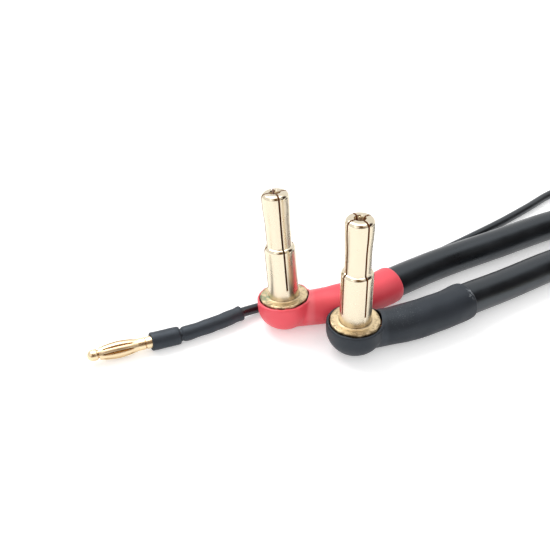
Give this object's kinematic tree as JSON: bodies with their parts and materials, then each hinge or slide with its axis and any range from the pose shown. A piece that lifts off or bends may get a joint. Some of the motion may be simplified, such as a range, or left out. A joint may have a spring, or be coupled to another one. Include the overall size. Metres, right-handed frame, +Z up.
{
  "type": "gold battery lead connector",
  "caption": "Battery charge lead with right-angle gold stepped bullet plugs in black and red boots, a sprung balance pin, black silicone leads and a charger plug",
  "frame": {"origin": "on the ground under the axis of the negative plug", "axes": "+Z up the negative plug's axis, +X from the plugs towards the leads and the charger plug, +Y away to the positive plug's side"},
  "size_m": [0.2312, 0.066, 0.0241],
  "materials": {
    "gold": "gold plated, satin bright",
    "strands": "tinned copper strands",
    "solder": "dull solder",
    "red_shrink": "matte heat-shrink tube",
    "black_shrink": "matte heat-shrink tube",
    "silicone": "soft silicone, satin",
    "strap": "woven hook-and-loop strap",
    "nylon": "moulded nylon"
  },
  "bodies": {
    "root": {"negative_plug": "gold", "positive_plug": "gold", "negative_strands": "strands", "positive_strands": "strands", "negative_solder": "solder", "positive_solder": "solder", "negative_boot": "black_shrink", "positive_boot": "red_shrink", "negative_lead": "silicone", "positive_lead": "silicone", "balance_lead": "silicone", "balance_pin": "gold", "balance_cage": "gold", "balance_strands": "strands", "balance_collar": "black_shrink", "balance_sleeve": "black_shrink", "hank_tie": "strap", "charger_shell": "nylon", "charger_cap": "nylon", "charger_negative_pin": "gold", "charger_positive_pin": "gold", "charger_balance_pin": "gold"}
  },
  "joints": []
}
